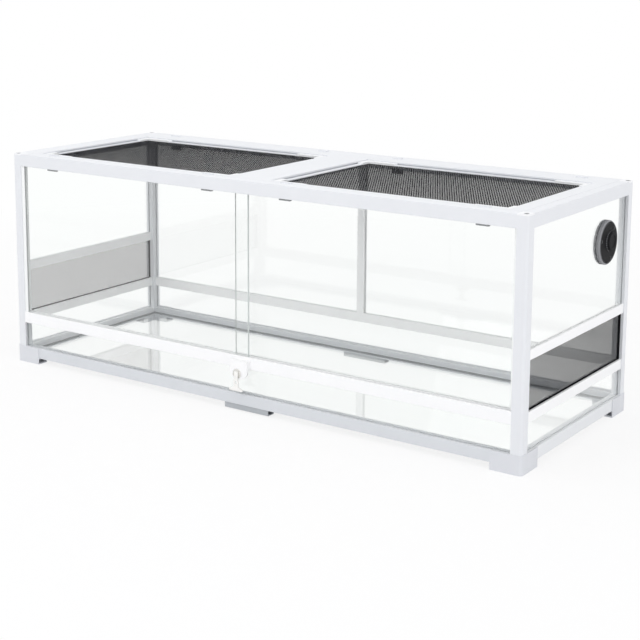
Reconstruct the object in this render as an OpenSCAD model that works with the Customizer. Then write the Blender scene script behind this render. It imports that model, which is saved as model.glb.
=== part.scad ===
// Long glass terrarium on a flat-pack frame of white profiles, with two sliding
// front doors, two lift-off screen lids, side vents, a door lock and a cable port.
// +X runs along the length, +Y to the back, +Z up. The origin is the bottom centre.

/* [Tank] */
// Overall length, over the feet
tank_l = 1220; // [1000:10:1500]
// Overall depth, over the feet
tank_d = 450; // [400:5:600]
// Height of the frame's top face
tank_h = 457; // [430:1:620]

/* [Posts and rails] */
// Width of a corner post, and depth of the rails between the posts
post_w = 22; // [21:0.5:26]
// Radius of a post's outer corner
post_r = 6; // [3:0.5:8]
// Wall of the extruded profiles
profile_wall = 1.8; // [1.4:0.1:2.2]
// Height of the bottom rails
bottom_rail_h = 23; // [21:0.5:30]
// Height of the lower edge of the middle rails above the ground
mid_rail_z = 88; // [75:1:110]
// Height of the middle rails at the sides and the back
mid_rail_h = 20; // [16:0.5:24]
// Thickness of the middle rails and of the back mullion
mid_rail_t = 14; // [11:0.5:15]
// Height of the side vents between their two rails
vent_h = 92; // [60:1:120]
// Height of the rail above a side vent
vent_rail_h = 19; // [16:0.5:24]
// Height of the top rails
top_rail_h = 26; // [24:0.5:32]
// Width of the mullion between the two back panes
mullion_w = 18; // [15:1:26]

/* [Feet] */
// Length of each leg of a corner foot
foot_l = 62; // [50:1:90]
// Wall of a foot, which stands this far outside the frame
foot_wall = 1.5; // [1.2:0.1:2]
// Height of the rails above the ground
foot_lift = 13; // [10:0.5:18]
// Floor and deck thickness of a foot
foot_deck = 2.5; // [2:0.1:3.5]
// Length of the hollow foot under the middle of a long rail
centre_foot_l = 105; // [60:5:160]
// How far the centre feet lie off the middle
centre_foot_shift = 15; // [-30:1:30]
// Gap under the centre feet, which take load only when the rail bends
centre_foot_gap = 2; // [1:0.5:4]

/* [Glass] */
// Thickness of every pane
glass_t = 5; // [4:0.5:6]
// Depth of the fixed panes' outer face behind the frame's face
glass_inset = 6; // [5:0.5:7]
// Depth of the grooves that hold the panes
glass_seat = 6; // [5:0.5:7]
// Clearance round a pane in its groove
seat_gap = 0.3; // [0.2:0.05:0.5]
// Corner radius of the panes
pane_r = 1.5; // [1:0.5:3]
// Height of the floor pane's underside above the rails' lower edge
floor_up = 6; // [4:0.5:8]
// Width of the ledge under the floor pane
floor_ledge = 10; // [8:1:16]

/* [Sliding doors] */
// Height of the lower door track
track_h = 24; // [20:0.5:26]
// Depth of the lower track's two lanes
lane_depth = 8; // [6:0.5:8]
// Depth of the upper track's two lanes
upper_lane_depth = 14; // [12:0.5:15]
// Play beside a door in its lane
door_play = 0.5; // [0.4:0.1:0.7]
// Overlap of the closed doors in the middle
door_overlap = 36; // [20:1:60]
// How far a door reaches into the upper track
door_reach = 5; // [3:0.5:6]
// Wall of the side channels that a door closes into
channel_t = 1.2; // [1:0.1:1.5]
// Reach of a side channel's fins over the door's edge
channel_fin = 7; // [5:0.5:10]

/* [Top and screen lids] */
// Width of the top frame at the front
front_border = 36; // [36:1:44]
// Width of the top frame at the back
back_border = 71; // [60:1:80]
// Width of the top frame at the sides
side_border = 50; // [44:1:60]
// Width of the bar between the two lids
centre_bar_w = 95; // [70:1:120]
// Thickness of the top frame's flange
flange_t = 3; // [2.5:0.1:3.5]
// Ledge that carries a lid
lid_ledge = 7; // [5:0.5:9]
// How far the flange's edge overhangs the lip that goes down beside a lid
lip_back = 3; // [1:0.5:5]
// Depth of a lid's top below the frame's top
lid_recess = 4.5; // [3:0.5:5.5]
// Gap between a lid and the frame
lid_gap = 1.5; // [1:0.1:2.5]
// Width of a lid's frame
lid_frame_w = 13; // [11:0.5:18]
// Height of a lid's frame
lid_frame_h = 6; // [5:0.5:7]
// Leg of a lid's corner piece along X
lid_corner_x = 75; // [50:1:100]
// Leg of a lid's corner piece along Y
lid_corner_y = 36; // [28:1:60]
// How far the corner pieces stand above the lid's frame
lid_corner_up = 2.5; // [0.5:0.1:2.5]
// Thickness of the screen sheet
mesh_t = 0.8; // [0.6:0.1:1.2]
// Openings along a screen, as a plain grid in place of its fine perforation
screen_cols = 12; // [6:1:12]
// Width of the strips between a screen's openings
screen_strip = 8; // [4:1:12]
// Distance between the two clips along one side of a lid
clip_spread = 418; // [260:2:430]
// Width of a clip
clip_w = 25; // [16:1:30]
// Thickness of a clip
clip_t = 4; // [3:0.5:5]
// How far a clip reaches below the top rail
clip_drop = 6.5; // [5:0.5:12]
// Height of the boss over each clip
boss_h = 2; // [1:0.25:3]

/* [Screws] */
// Thickness of the cap on a post
post_cap_t = 3; // [2.5:0.1:4]
// Distance of the screws from a post's outer faces
screw_in = 8.4; // [8.2:0.1:9]
// Screw shank diameter
screw_d = 4; // [3.5:0.1:4.2]
// Screw head diameter
screw_head_d = 9.5; // [8:0.5:10.5]
// Screw head height
screw_head_h = 1.4; // [1:0.1:1.6]
// Screw length under the head
screw_l = 22; // [16:1:28]

/* [Door lock] */
// Width of the lock housing
lock_w = 42; // [36:1:60]
// How far the lock's centre lies off the middle
lock_shift = 5; // [-20:1:20]
// How far the lock housing stands in front of the frame
lock_proud = 10.5; // [9:0.5:10.5]
// Height of the housing's block above the middle rail's lower edge
lock_block_h = 18; // [12:0.5:19]
// Thickness of the plate that hangs below the housing's block
lock_plate_t = 4; // [3:0.5:5]
// Depth of the plate's lowest point below the middle rail
lock_drop = 20; // [18:0.5:24]
// Radius of the plate's curved lower edge
lock_lobe_r = 24; // [22:0.5:40]
// Depth of the key cylinder's axis below the middle rail
lock_axis_drop = 9; // [9:0.5:10]
// How far the key cylinder lies off the housing's middle
lock_axis_shift = -3; // [-6:1:6]
// Diameter of the key cylinder
lock_barrel_d = 16; // [13:0.5:16]
// Diameter of the cylinder's rim in front of the plate
lock_rim_d = 20; // [18:0.5:21]
// Running clearance round the key cylinder
lock_play = 0.05; // [0.03:0.01:0.08]
// Length of the key's hanging head below the cylinder's axis
key_head_l = 34; // [32:1:36]
// Width of the key's head
key_head_w = 33; // [26:1:34]
// Thickness of the key's head
key_head_t = 2.5; // [2:0.1:2.6]

/* [Cable port] */
// Diameter of the port's flange
port_d = 84; // [76:1:96]
// Diameter of the hole in the glass
port_hole_d = 75; // [74:0.5:75.5]
// Distance of the port's centre from the back of the frame
port_from_back = 111; // [80:1:160]
// Distance of the port's centre from the top of the frame
port_below_top = 103; // [90:1:110]
// Thickness of the outer flange
port_rim_t = 7; // [6:0.5:8]
// Thickness of the inner ring
port_ring_t = 4; // [3:0.5:5]
// Diameter of the turning disc
port_disc_d = 54; // [50:1:56]
// Diameter of the cable hole in the disc
port_bore_d = 24; // [18:1:24]
// How far the cable hole lies off the disc's centre
port_ecc = 6.5; // [5:0.5:8]
// Diameter of the cap's base on the cable hole
port_cap_d = 38; // [32:1:38]
// Diameter of the cap's flat top, over its corners
port_cap_top_d = 29; // [24:1:32]
// Height of the cap
port_cap_h = 5.5; // [5:0.5:9]

/* [Hidden] */
$fn = 48;
over = 1;                 // how far a cut runs past what it cuts
rail_edge_r = 1.2;        // rounded edges of the rails
post_lip = 2.2;           // wall between a post's core and its faces
rail_w = post_w;
frame_l = tank_l - 2 * foot_wall;
frame_d = tank_d - 2 * foot_wall;
fx = frame_l / 2;
fy = frame_d / 2;
span_x = frame_l - 2 * post_w;
span_y = frame_d - 2 * post_w;
rail_top = foot_lift + bottom_rail_h;
mid_top = mid_rail_z + mid_rail_h;
vent_top = mid_top + vent_h;
vent_rail_top = vent_top + vent_rail_h;
top_rail_z = tank_h - top_rail_h;

groove_w = glass_t + 2 * seat_gap;
groove_u = glass_inset - seat_gap;
pane_grip = glass_seat - seat_gap;
mid_u = glass_inset + glass_t / 2 - mid_rail_t / 2;
floor_z = foot_lift + floor_up;
floor_ledge_t = 3;

track_top = mid_rail_z + track_h;
lane_w = glass_t + 2 * door_play;
lane_wall = (rail_w - 2 * lane_w) / 3;
lane_u = [lane_wall, 2 * lane_wall + lane_w];   // front lane, rear lane
door_z = track_top - lane_depth + seat_gap;
door_end = span_x / 2 - channel_t - door_play;

open_l = (frame_l - 2 * side_border - centre_bar_w) / 2;
open_d = frame_d - front_border - back_border;
open_x = (centre_bar_w + open_l) / 2;
open_y = (front_border - back_border) / 2;
lid_l = open_l - 2 * lid_gap;
lid_d = open_d - 2 * lid_gap;
lid_top = tank_h - lid_recess;
lid_z = lid_top - lid_frame_h;
lid_ledge_t = 2;
lip_h = tank_h - flange_t - lid_z + lid_ledge_t;
mesh_down = 2.4;          // depth of the screen's underside below the lid's top
mesh_z = lid_top - mesh_down;
mesh_seat = 5;            // how far the mesh reaches into a lid's frame
screen_rows = 8;          // openings across a screen
mesh_play = 0.1;
corner_gap = 0.4;         // gap between a lid's corner pieces and the frame
boss_d = 9;               // depth of a boss over a clip
boss_lap = 2;             // how far a boss laps over the rail
clip_x = [for (s = [-1, 1], c = [-1, 1]) s * open_x + c * clip_spread / 2];
clip_head = 3;            // thickness of a clip's head under the flange
clip_toe = 2.4;           // how far a clip's toe reaches under the rail

vent_trim = pane_grip + 1.5;   // border strip round a vent's mesh

lock_x = lock_shift + lock_axis_shift;
lock_z = mid_rail_z - lock_axis_drop;
lock_low = mid_rail_z - lock_drop;
lock_top = mid_rail_z + lock_block_h;
lock_block_under = 1.5;   // how far the block reaches below the rail's edge
lock_edge_r = 2;
lock_face = -fy - lock_proud;
lock_rim_gap = 0.15;
lock_rim_t = 1;
keyway_w = 2.6;
keyway_h = 8;
key_play = 0.3;
key_gap = 0.5;            // between the cylinder's face and the key's head
key_y = lock_face - lock_rim_gap - lock_rim_t - key_gap;
key_neck_w = 8;
key_eye_d = 12;
key_ring_d = 6;
key_eye_down = 17;        // depth of the ring eye below the cylinder's axis
key_brim_h = 4;           // height of the bell's brim above the head's lower edge
key_corner_r = 4;

port_x = fx - glass_inset;
port_y = fy - port_from_back;
port_z = tank_h - port_below_top;
port_disc_t = 3;
port_play = 0.1;
port_screw_out = 0.5;     // how far the screws lie outside the middle of the rim
port_screw_r = (port_disc_d + port_hole_d) / 4 + port_screw_out;
port_screw_d = 3;
port_screw_head = 6;
port_screw_turn = 49;     // direction of the first screw from the port's centre
port_angle = 18;          // direction of the cable hole from the disc's centre
port_base_h = 1.5;        // height of the cap's round base

white = "#eef0f3";
glass_tint = [0.82, 0.93, 0.91, 0.35];
mesh_black = "#2c2c30";
clip_grey = "#6b6e73";
steel = "#9a9ca0";
port_black = "#1b1b1d";

// ---- Outlines ----

// A rectangle with true arcs at its corners
module rounded_rect(w, h, r) {
    translate([r, 0]) square([w - 2 * r, h]);
    translate([0, r]) square([w, h - 2 * r]);
    for (x = [r, w - r], y = [r, h - r]) translate([x, y]) circle(r);
}

// A quarter of a plan, with its outer corner rounded at the origin
module rounded_corner(w, d, r) {
    translate([r, 0]) square([w - r, d]);
    translate([0, r]) square([w, d - r]);
    translate([r, r]) circle(r);
}

// ---- Placing ----
// A profile's first axis runs inwards from the frame's outer face, its second is height.

module run_front(len) {
    translate([-len / 2, -fy, 0]) rotate([90, 0, 90]) linear_extrude(len) children();
}

module run_left(len) {
    translate([-fx, len / 2, 0]) rotate([90, 0, 0]) linear_extrude(len) children();
}

module to_back() {
    mirror([0, 1, 0]) children();
}

module to_right() {
    mirror([1, 0, 0]) children();
}

// From the front left corner to any of the four corners
module to_corner(sx, sy) {
    mirror([sx > 0 ? 1 : 0, 0, 0]) mirror([0, sy > 0 ? 1 : 0, 0]) children();
}

module each_corner() {
    for (sx = [-1, 1], sy = [-1, 1]) to_corner(sx, sy) children();
}

// A pane along the front, from its outer face inwards
module pane_x(x0, x1, z0, z1, u = glass_inset, t = glass_t) {
    translate([x0, -fy + u + t, z0]) rotate([90, 0, 0])
        linear_extrude(t) rounded_rect(x1 - x0, z1 - z0, pane_r);
}

// A pane along the left side
module pane_y(y0, y1, z0, z1, u = glass_inset, t = glass_t) {
    translate([-fx + u, y0, z0]) rotate([90, 0, 90])
        linear_extrude(t) rounded_rect(y1 - y0, z1 - z0, pane_r);
}

// ---- Profiles ----

// Corner post: hollow core with a screw port, and a groove towards each neighbour
module post_profile() {
    core = post_w - glass_seat - 2 * post_lip;
    difference() {
        rounded_corner(post_w, post_w, post_r);
        translate([post_lip, post_lip]) difference() {
            rounded_corner(core, core, post_r - post_lip);
            translate([screw_in - post_lip, screw_in - post_lip]) circle(d = 2 * screw_d);
            translate([screw_in - post_lip, screw_in - post_lip - profile_wall / 2])
                square([core, profile_wall]);
        }
        translate([screw_in, screw_in]) circle(d = screw_d + 0.2);
        translate([post_w - glass_seat, groove_u]) square([glass_seat + over, groove_w]);
        translate([groove_u, post_w - glass_seat]) square([groove_w, glass_seat + over]);
    }
}

module bottom_profile() {
    difference() {
        translate([0, foot_lift]) rounded_rect(rail_w, bottom_rail_h, rail_edge_r);
        translate([groove_u, rail_top - glass_seat]) square([groove_w, glass_seat + over]);
        translate([profile_wall, foot_lift + profile_wall])
            square([rail_w - 2 * profile_wall, bottom_rail_h - glass_seat - 2 * profile_wall]);
    }
}

module floor_ledge_profile() {
    translate([rail_w, floor_z - floor_ledge_t]) square([floor_ledge, floor_ledge_t]);
}

// H profile of a middle rail, with a groove above and below
module mid_profile(z0, h) {
    difference() {
        translate([mid_u, z0]) rounded_rect(mid_rail_t, h, rail_edge_r);
        translate([groove_u, z0 - over]) square([groove_w, glass_seat + over]);
        translate([groove_u, z0 + h - glass_seat]) square([groove_w, glass_seat + over]);
    }
}

// Lower door track: two lanes above, the lower pane's groove below
module lower_track_profile() {
    difference() {
        translate([0, mid_rail_z]) rounded_rect(rail_w, track_h, rail_edge_r);
        for (u = lane_u)
            translate([u, track_top - lane_depth]) square([lane_w, lane_depth + over]);
        translate([groove_u, mid_rail_z - over]) square([groove_w, glass_seat + over]);
    }
}

// Upper door track: an insert in the front top rail, with two lanes facing down
module upper_track_profile() {
    difference() {
        translate([profile_wall + mesh_play, top_rail_z])
            square([rail_w - 2 * (profile_wall + mesh_play), upper_lane_depth + profile_wall]);
        for (u = lane_u)
            translate([u, top_rail_z - over]) square([lane_w, upper_lane_depth + over]);
    }
}

// Front top rail: a channel open below, round the upper door track
module top_channel_profile() {
    difference() {
        translate([0, top_rail_z]) rounded_rect(rail_w, top_rail_h, rail_edge_r);
        translate([profile_wall, top_rail_z - over])
            square([rail_w - 2 * profile_wall, top_rail_h - flange_t + over]);
    }
}

// Top rail at the back and the sides: a tube with a groove for the upper panes
module top_tube_profile() {
    hollow_z = top_rail_z + glass_seat + profile_wall;
    difference() {
        translate([0, top_rail_z]) rounded_rect(rail_w, top_rail_h, rail_edge_r);
        translate([groove_u, top_rail_z - over]) square([groove_w, glass_seat + over]);
        translate([profile_wall, hollow_z])
            square([rail_w - 2 * profile_wall, tank_h - flange_t - hollow_z]);
    }
}

// Flange of the top frame
module flange_profile(border) {
    translate([rail_w, tank_h - flange_t]) square([border - rail_w, flange_t]);
}

// Lip that goes down from the flange beside a lid, set back under its edge
module lip_profile(border) {
    translate([border - lip_back - profile_wall, lid_z - lid_ledge_t])
        square([profile_wall, lip_h]);
}

module lid_ledge_profile(border) {
    translate([border - lip_back, lid_z - lid_ledge_t])
        square([lip_back + lid_ledge, lid_ledge_t]);
}

// ---- Frame ----

module post() {
    color(white) translate([-fx, -fy, foot_lift])
        linear_extrude(tank_h - post_cap_t - foot_lift) post_profile();
}

module post_front_left() { to_corner(-1, -1) post(); }
module post_front_right() { to_corner(1, -1) post(); }
module post_back_left() { to_corner(-1, 1) post(); }
module post_back_right() { to_corner(1, 1) post(); }

module foot_plan() {
    leg_w = rail_w + 2 * foot_wall;
    rounded_corner(foot_l, leg_w, post_r + foot_wall);
    rounded_corner(leg_w, foot_l, post_r + foot_wall);
}

// Corner foot: a hollow L under the rails' ends, with a skirt up to the rails' top
module foot() {
    leg_w = rail_w + 2 * foot_wall;
    inner = leg_w - 2 * foot_wall;
    hollow_h = foot_lift - 2 * foot_deck;
    axis = foot_wall + screw_in;
    color(white) translate([-tank_l / 2, -tank_d / 2, 0]) difference() {
        linear_extrude(rail_top) foot_plan();
        translate([foot_wall, foot_wall, foot_lift]) linear_extrude(bottom_rail_h + over)
            rounded_corner(foot_l, foot_l, post_r - seat_gap);
        for (turn = [0, 1]) mirror([turn, -turn, 0])
            translate([leg_w, foot_wall, foot_deck]) cube([foot_l, inner, hollow_h]);
        translate([axis, axis, -over]) cylinder(d = screw_d + 0.5, h = foot_lift + 2 * over);
        translate([axis, axis, -over])
            cylinder(d = screw_head_d + 1, h = screw_head_h + 0.6 + over);
    }
}

module foot_front_left() { to_corner(-1, -1) foot(); }
module foot_front_right() { to_corner(1, -1) foot(); }
module foot_back_left() { to_corner(-1, 1) foot(); }
module foot_back_right() { to_corner(1, 1) foot(); }

// Hollow centre foot under a long bottom rail, open at both ends
module centre_foot() {
    h = foot_lift - centre_foot_gap;
    w = rail_w - 2 * rail_edge_r;
    wall = foot_wall + 0.3;
    translate([centre_foot_shift, 0, 0]) run_front(centre_foot_l)
        translate([rail_edge_r, centre_foot_gap]) difference() {
            rounded_rect(w, h, rail_edge_r);
            translate([wall, wall]) square([w - 2 * wall, h - 2 * wall]);
        }
}

module centre_feet() {
    color(white) {
        centre_foot();
        to_back() centre_foot();
    }
}

module bottom_rail_x() {
    color(white) {
        run_front(span_x) bottom_profile();
        run_front(span_x) floor_ledge_profile();
    }
}

module bottom_rail_y() {
    color(white) {
        run_left(span_y) bottom_profile();
        run_left(span_y - 2 * floor_ledge) floor_ledge_profile();
    }
}

module bottom_rail_front() { bottom_rail_x(); }
module bottom_rail_back() { to_back() bottom_rail_x(); }
module bottom_rail_left() { bottom_rail_y(); }
module bottom_rail_right() { to_right() bottom_rail_y(); }

module floor_glass() {
    color(glass_tint) translate([-span_x / 2 + seat_gap, -span_y / 2 + seat_gap, floor_z])
        linear_extrude(glass_t)
            rounded_rect(span_x - 2 * seat_gap, span_y - 2 * seat_gap, pane_r);
}

// Boss on the flange over each clip
module clip_bosses() {
    for (x = clip_x)
        translate([x - clip_w / 2, -fy + rail_w - boss_lap, tank_h - flange_t])
            linear_extrude(flange_t + boss_h) rounded_rect(clip_w, boss_d, boss_d / 3);
}

module top_rail_x_flange(border) {
    run_front(span_x) {
        flange_profile(border);
        lip_profile(border);
    }
    for (s = [-1, 1]) translate([s * open_x, 0, 0])
        run_front(open_l + 2 * lip_back) lid_ledge_profile(border);
    clip_bosses();
}

module top_rail_y() {
    color(white) {
        run_left(span_y) top_tube_profile();
        translate([0, open_y, 0]) {
            run_left(open_d) flange_profile(side_border);
            run_left(open_d + 2 * lip_back) lip_profile(side_border);
            run_left(open_d - 2 * lid_ledge) lid_ledge_profile(side_border);
        }
    }
}

module top_rail_front() {
    color(white) {
        run_front(span_x) top_channel_profile();
        top_rail_x_flange(front_border);
    }
}

module top_rail_back() {
    color(white) to_back() {
        run_front(span_x) top_tube_profile();
        top_rail_x_flange(back_border);
    }
}

module top_rail_left() { top_rail_y(); }
module top_rail_right() { to_right() top_rail_y(); }

// Bar between the lids: a plate with a lip and a ledge along each lid, and two ribs
module top_centre_bar() {
    color(white) translate([0, open_y, 0]) {
        translate([-centre_bar_w / 2, -open_d / 2, tank_h - flange_t])
            cube([centre_bar_w, open_d, flange_t]);
        for (s = [0, 1]) mirror([s, 0, 0]) {
            translate([centre_bar_w / 2, 0, lid_z - lid_ledge_t]) {
                translate([-lip_back - profile_wall, -open_d / 2 - lip_back, 0])
                    cube([profile_wall, open_d + 2 * lip_back, lip_h]);
                translate([-lip_back, -open_d / 2 + lid_ledge, 0])
                    cube([lip_back + lid_ledge, open_d - 2 * lid_ledge, lid_ledge_t]);
            }
            translate([centre_bar_w / 6, -open_d / 2, lid_z])
                cube([profile_wall, open_d, tank_h - flange_t - lid_z]);
        }
    }
}

module lower_door_track() {
    color(white) run_front(span_x) lower_track_profile();
}

module upper_door_track() {
    color(white) run_front(span_x) upper_track_profile();
}

module back_mid_rail() {
    color(white) to_back() run_front(span_x) mid_profile(mid_rail_z, mid_rail_h);
}

module back_mullion() {
    h = top_rail_z - mid_top;
    groove = [glass_seat + over, groove_w];
    color(white) to_back() translate([0, -fy, mid_top]) linear_extrude(h) difference() {
        translate([-mullion_w / 2, mid_u]) rounded_rect(mullion_w, mid_rail_t, rail_edge_r);
        for (s = [0, 1]) mirror([s, 0])
            translate([mullion_w / 2 - glass_seat, groove_u]) square(groove);
    }
}

module side_mid_rail_left() {
    color(white) run_left(span_y) mid_profile(mid_rail_z, mid_rail_h);
}

module side_mid_rail_right() { to_right() side_mid_rail_left(); }

module side_vent_rail_left() {
    color(white) run_left(span_y) mid_profile(vent_top, vent_rail_h);
}

module side_vent_rail_right() { to_right() side_vent_rail_left(); }

// ---- Fixed panes and vents ----

module front_lower_glass() {
    half = span_x / 2 + pane_grip;
    color(glass_tint) pane_x(-half, half, rail_top - pane_grip, mid_rail_z + pane_grip);
}

module back_lower_glass() { to_back() front_lower_glass(); }

module side_lower_glass_left() {
    half = span_y / 2 + pane_grip;
    color(glass_tint) pane_y(-half, half, rail_top - pane_grip, mid_rail_z + pane_grip);
}

module side_lower_glass_right() { to_right() side_lower_glass_left(); }

module side_upper_glass_left() {
    half = span_y / 2 + pane_grip;
    color(glass_tint)
        pane_y(-half, half, vent_rail_top - pane_grip, top_rail_z + pane_grip);
}

// The right pane has the round hole for the cable port
module side_upper_glass_right() {
    color(glass_tint) difference() {
        to_right() side_upper_glass_left();
        on_port_axis() translate([0, 0, -glass_t - over])
            cylinder(d = port_hole_d, h = glass_t + 2 * over, $fn = 96);
    }
}

module back_upper_glass_left() {
    color(glass_tint) to_back()
        pane_x(-span_x / 2 - pane_grip, -mullion_w / 2 + pane_grip,
               mid_top - pane_grip, top_rail_z + pane_grip);
}

module back_upper_glass_right() { to_right() back_upper_glass_left(); }

// Side vent: a thin mesh held in a border strip as thick as the glass
module side_vent_left() {
    y1 = span_y / 2 + pane_grip;
    z0 = mid_top - pane_grip;
    z1 = vent_top + pane_grip;
    color(mesh_black) {
        difference() {
            pane_y(-y1, y1, z0, z1);
            pane_y(-y1 + vent_trim, y1 - vent_trim, z0 + vent_trim, z1 - vent_trim,
                   glass_inset - over, glass_t + 2 * over);
        }
        pane_y(-y1 + over, y1 - over, z0 + over, z1 - over,
               glass_inset + (glass_t - mesh_t) / 2, mesh_t);
    }
}

module side_vent_right() { to_right() side_vent_left(); }

// ---- Doors ----

// The left door runs in the front lane
module front_door() {
    color(glass_tint)
        pane_x(-door_end, door_overlap / 2, door_z, top_rail_z + door_reach,
               lane_u[0] + door_play);
}

// The right door runs in the rear lane
module rear_door() {
    color(glass_tint) to_right()
        pane_x(-door_end, door_overlap / 2, door_z, top_rail_z + door_reach,
               lane_u[1] + door_play);
}

// Side channel: a strip down the post with two fins over the door's edge
module door_channel(u) {
    color(clip_grey) translate([-span_x / 2, -fy, track_top])
        linear_extrude(top_rail_z - track_top) {
            translate([0, profile_wall]) square([channel_t, rail_w - 2 * profile_wall]);
            for (y = [u - channel_t, u + lane_w])
                translate([0, y]) square([channel_t + channel_fin, channel_t]);
        }
}

module door_channel_left() { door_channel(lane_u[0]); }
module door_channel_right() { to_right() door_channel(lane_u[1]); }

// ---- Screen lids ----

// The slot for the mesh, cut into whatever frames it
module mesh_slot() {
    l = lid_l - 2 * (lid_frame_w - mesh_seat);
    d = lid_d - 2 * (lid_frame_w - mesh_seat);
    translate([-l / 2 - mesh_play, -d / 2 - mesh_play, mesh_z - mesh_play])
        cube([l + 2 * mesh_play, d + 2 * mesh_play, mesh_t + 2 * mesh_play]);
}

// Four straight bars of a lid's frame
module lid_bars() {
    bar_x = lid_l - 2 * lid_corner_x;
    bar_y = lid_d - 2 * lid_corner_y;
    difference() {
        for (s = [0, 1]) {
            mirror([0, s, 0]) translate([-bar_x / 2, -lid_d / 2, lid_z])
                cube([bar_x, lid_frame_w, lid_frame_h]);
            mirror([s, 0, 0]) translate([-lid_l / 2, -bar_y / 2, lid_z])
                cube([lid_frame_w, bar_y, lid_frame_h]);
        }
        mesh_slot();
    }
}

// L-shaped corner piece, a little higher than the bars and out to the opening's edge
module lid_corner() {
    proud = lid_gap - corner_gap;
    r = 2;
    translate([-lid_l / 2, -lid_d / 2, lid_z]) {
        linear_extrude(lid_frame_h) {
            square([lid_corner_x, lid_frame_w]);
            square([lid_frame_w, lid_corner_y]);
        }
        translate([0, 0, lid_frame_h - mesh_seat / 2]) translate([-proud, -proud, 0])
            linear_extrude(mesh_seat / 2 + lid_corner_up) {
                rounded_rect(lid_corner_x + proud, lid_frame_w + proud, r);
                rounded_rect(lid_frame_w + proud, lid_corner_y + proud, r);
            }
    }
}

module lid_corners() {
    difference() {
        for (sx = [0, 1], sy = [0, 1]) mirror([sx, 0, 0]) mirror([0, sy, 0]) lid_corner();
        mesh_slot();
    }
}

// Screen: a thin sheet whose openings all lie inside the lid's frame
module lid_mesh() {
    l = lid_l - 2 * (lid_frame_w - mesh_seat);
    d = lid_d - 2 * (lid_frame_w - mesh_seat);
    edge = mesh_seat + screen_strip;
    step_x = (l - 2 * edge + screen_strip) / screen_cols;
    step_y = (d - 2 * edge + screen_strip) / screen_rows;
    translate([-l / 2, -d / 2, mesh_z]) linear_extrude(mesh_t) difference() {
        square([l, d]);
        for (i = [0:screen_cols - 1], j = [0:screen_rows - 1])
            translate([edge + i * step_x, edge + j * step_y])
                square([step_x - screen_strip, step_y - screen_strip]);
    }
}

module lid_frame_left() { color(white) translate([-open_x, open_y, 0]) lid_bars(); }
module lid_frame_right() { color(white) translate([open_x, open_y, 0]) lid_bars(); }
module lid_corners_left() { color(white) translate([-open_x, open_y, 0]) lid_corners(); }
module lid_corners_right() { color(white) translate([open_x, open_y, 0]) lid_corners(); }
module lid_mesh_left() { color(mesh_black) translate([-open_x, open_y, 0]) lid_mesh(); }
module lid_mesh_right() { color(mesh_black) translate([open_x, open_y, 0]) lid_mesh(); }

// ---- Clips and screws ----

// Snap clip under a boss: head, leaf along the rail's inner face, toe under the rail
module top_clip() {
    leaf_z = top_rail_z - clip_drop;
    translate([-clip_w / 2, 0, 0]) rotate([90, 0, 90]) linear_extrude(clip_w) {
        translate([rail_w, tank_h - flange_t - clip_head])
            square([2 * clip_t, clip_head]);
        translate([rail_w, leaf_z]) square([clip_t, tank_h - flange_t - leaf_z]);
        translate([rail_w - clip_toe, leaf_z]) square([clip_toe + clip_t, clip_drop]);
    }
}

module top_clips() {
    color(clip_grey) for (side = [0, 1], x = clip_x)
        mirror([0, side, 0]) translate([x, -fy, 0]) top_clip();
}

// Cap on the top of a post, with the seat of its screw
module post_cap() {
    translate([-fx, -fy, tank_h - post_cap_t]) difference() {
        linear_extrude(post_cap_t) rounded_corner(post_w, post_w, post_r);
        translate([screw_in, screw_in, -over])
            cylinder(d = screw_d + 0.5, h = post_cap_t + 2 * over);
        translate([screw_in, screw_in, post_cap_t - screw_head_h - 0.6])
            cylinder(d = screw_head_d + 1, h = post_cap_t);
    }
}

module post_caps() {
    color(white) each_corner() post_cap();
}

// A screw with its head's outer face at z = 0 and its shank going down
module screw() {
    translate([0, 0, -screw_head_h]) cylinder(d = screw_head_d, h = screw_head_h);
    translate([0, 0, -screw_head_h - screw_l]) cylinder(d = screw_d, h = screw_l);
}

module post_screws() {
    color(steel) each_corner()
        translate([-fx + screw_in, -fy + screw_in, tank_h - 0.6]) screw();
}

module foot_screws() {
    color(steel) each_corner()
        translate([-fx + screw_in, -fy + screw_in, 0.6]) mirror([0, 0, 1]) screw();
}

// ---- Door lock ----

// Moves to the key cylinder's axis, with local +Z pointing out of the front
module on_lock_axis() {
    translate([lock_x, lock_face, lock_z]) rotate([90, 0, 0]) children();
}

// Front outline of the plate: straight sides and a curve below
module lock_outline() {
    arc_z = lock_low + lock_lobe_r;
    intersection() {
        translate([-lock_w / 2, lock_low - over])
            rounded_rect(lock_w, lock_top - lock_low + over, lock_edge_r);
        union() {
            translate([0, arc_z]) circle(lock_lobe_r, $fn = 96);
            translate([-lock_w / 2, arc_z]) square([lock_w, lock_top - arc_z]);
        }
    }
}

// Housing: a block on the door track and a plate that hangs in front of the lower pane
module lock_housing() {
    block_z = mid_rail_z - lock_block_under;
    color(white) difference() {
        translate([lock_shift, -fy, 0]) rotate([90, 0, 0]) {
            translate([-lock_w / 2, block_z])
                linear_extrude(lock_proud)
                    rounded_rect(lock_w, lock_top - block_z, lock_edge_r);
            translate([0, 0, lock_proud - lock_plate_t])
                linear_extrude(lock_plate_t) lock_outline();
        }
        on_lock_axis() translate([0, 0, -lock_proud - over])
            cylinder(d = lock_barrel_d + 2 * lock_play, h = lock_proud + 2 * over);
    }
}

// Key cylinder with a thin rim in front of the plate and a keyway
module lock_cylinder() {
    barrel_h = lock_proud - seat_gap;
    face = lock_rim_gap + lock_rim_t;
    color(steel) on_lock_axis() difference() {
        union() {
            translate([0, 0, -barrel_h]) cylinder(d = lock_barrel_d, h = barrel_h + face);
            translate([0, 0, lock_rim_gap]) cylinder(d = lock_rim_d, h = lock_rim_t);
        }
        translate([-keyway_w / 2, -keyway_h / 2, face - barrel_h])
            cube([keyway_w, keyway_h, barrel_h + over]);
    }
}

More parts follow.
